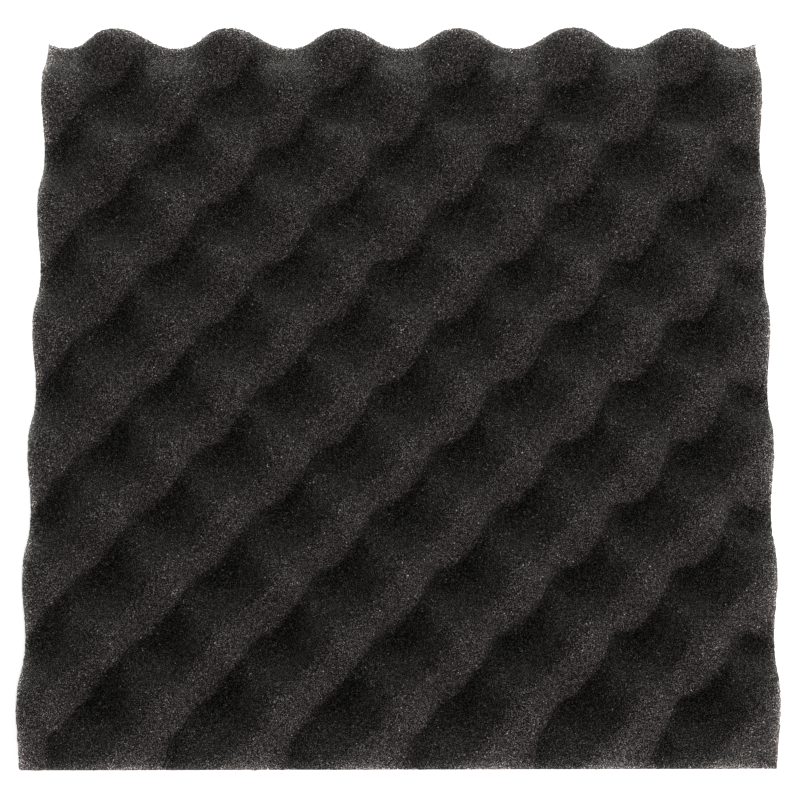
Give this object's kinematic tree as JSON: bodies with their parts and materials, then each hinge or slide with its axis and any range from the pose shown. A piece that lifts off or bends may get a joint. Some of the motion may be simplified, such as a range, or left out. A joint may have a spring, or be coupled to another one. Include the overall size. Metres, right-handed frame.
{
  "type": "acoustic foam panel",
  "caption": "Square wall tile of charcoal open-cell foam with a flat back, straight cut edges and an egg-crate face of staggered round bumps and dips that absorbs sound.",
  "frame": {"origin": "centre of the flat back face", "axes": "+Z out of the profiled face, away from the wall; +X across the panel's width and +Y along its slightly longer side"},
  "size_m": [0.3, 0.305, 0.035],
  "materials": {
    "open_cell_foam": "matte"
  },
  "bodies": {
    "root": {"foam_panel": "open_cell_foam"}
  },
  "joints": []
}
